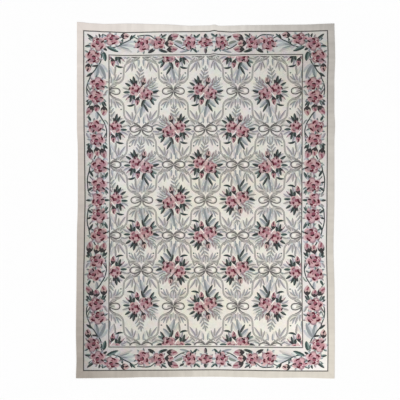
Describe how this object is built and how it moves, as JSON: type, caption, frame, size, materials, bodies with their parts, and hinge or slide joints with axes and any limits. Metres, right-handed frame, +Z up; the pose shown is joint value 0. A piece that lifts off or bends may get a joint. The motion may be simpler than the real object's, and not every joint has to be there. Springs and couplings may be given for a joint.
{
  "type": "petit-point carpet",
  "caption": "Flat rectangular stitched carpet: rose posies in a ribbon trellis, a rose garland border and a plain cloth binding.",
  "frame": {"origin": "on the floor, under the middle of the carpet's bounding box", "axes": "+Z up out of the worked face, +Y along the length towards the edge with the joined binding, +X across the width"},
  "size_m": [2.456, 3.379, 0.0048],
  "materials": {
    "needlework_wool": "matt wool stitches, cream ground with roses, leaves and grey-blue ribbons",
    "binding_cloth": "matt cream cotton cloth"
  },
  "bodies": {
    "root": {"worked_canvas": "needlework_wool", "binding_top": "binding_cloth", "binding_bottom": "binding_cloth", "binding_left": "binding_cloth", "binding_right": "binding_cloth"}
  },
  "joints": []
}
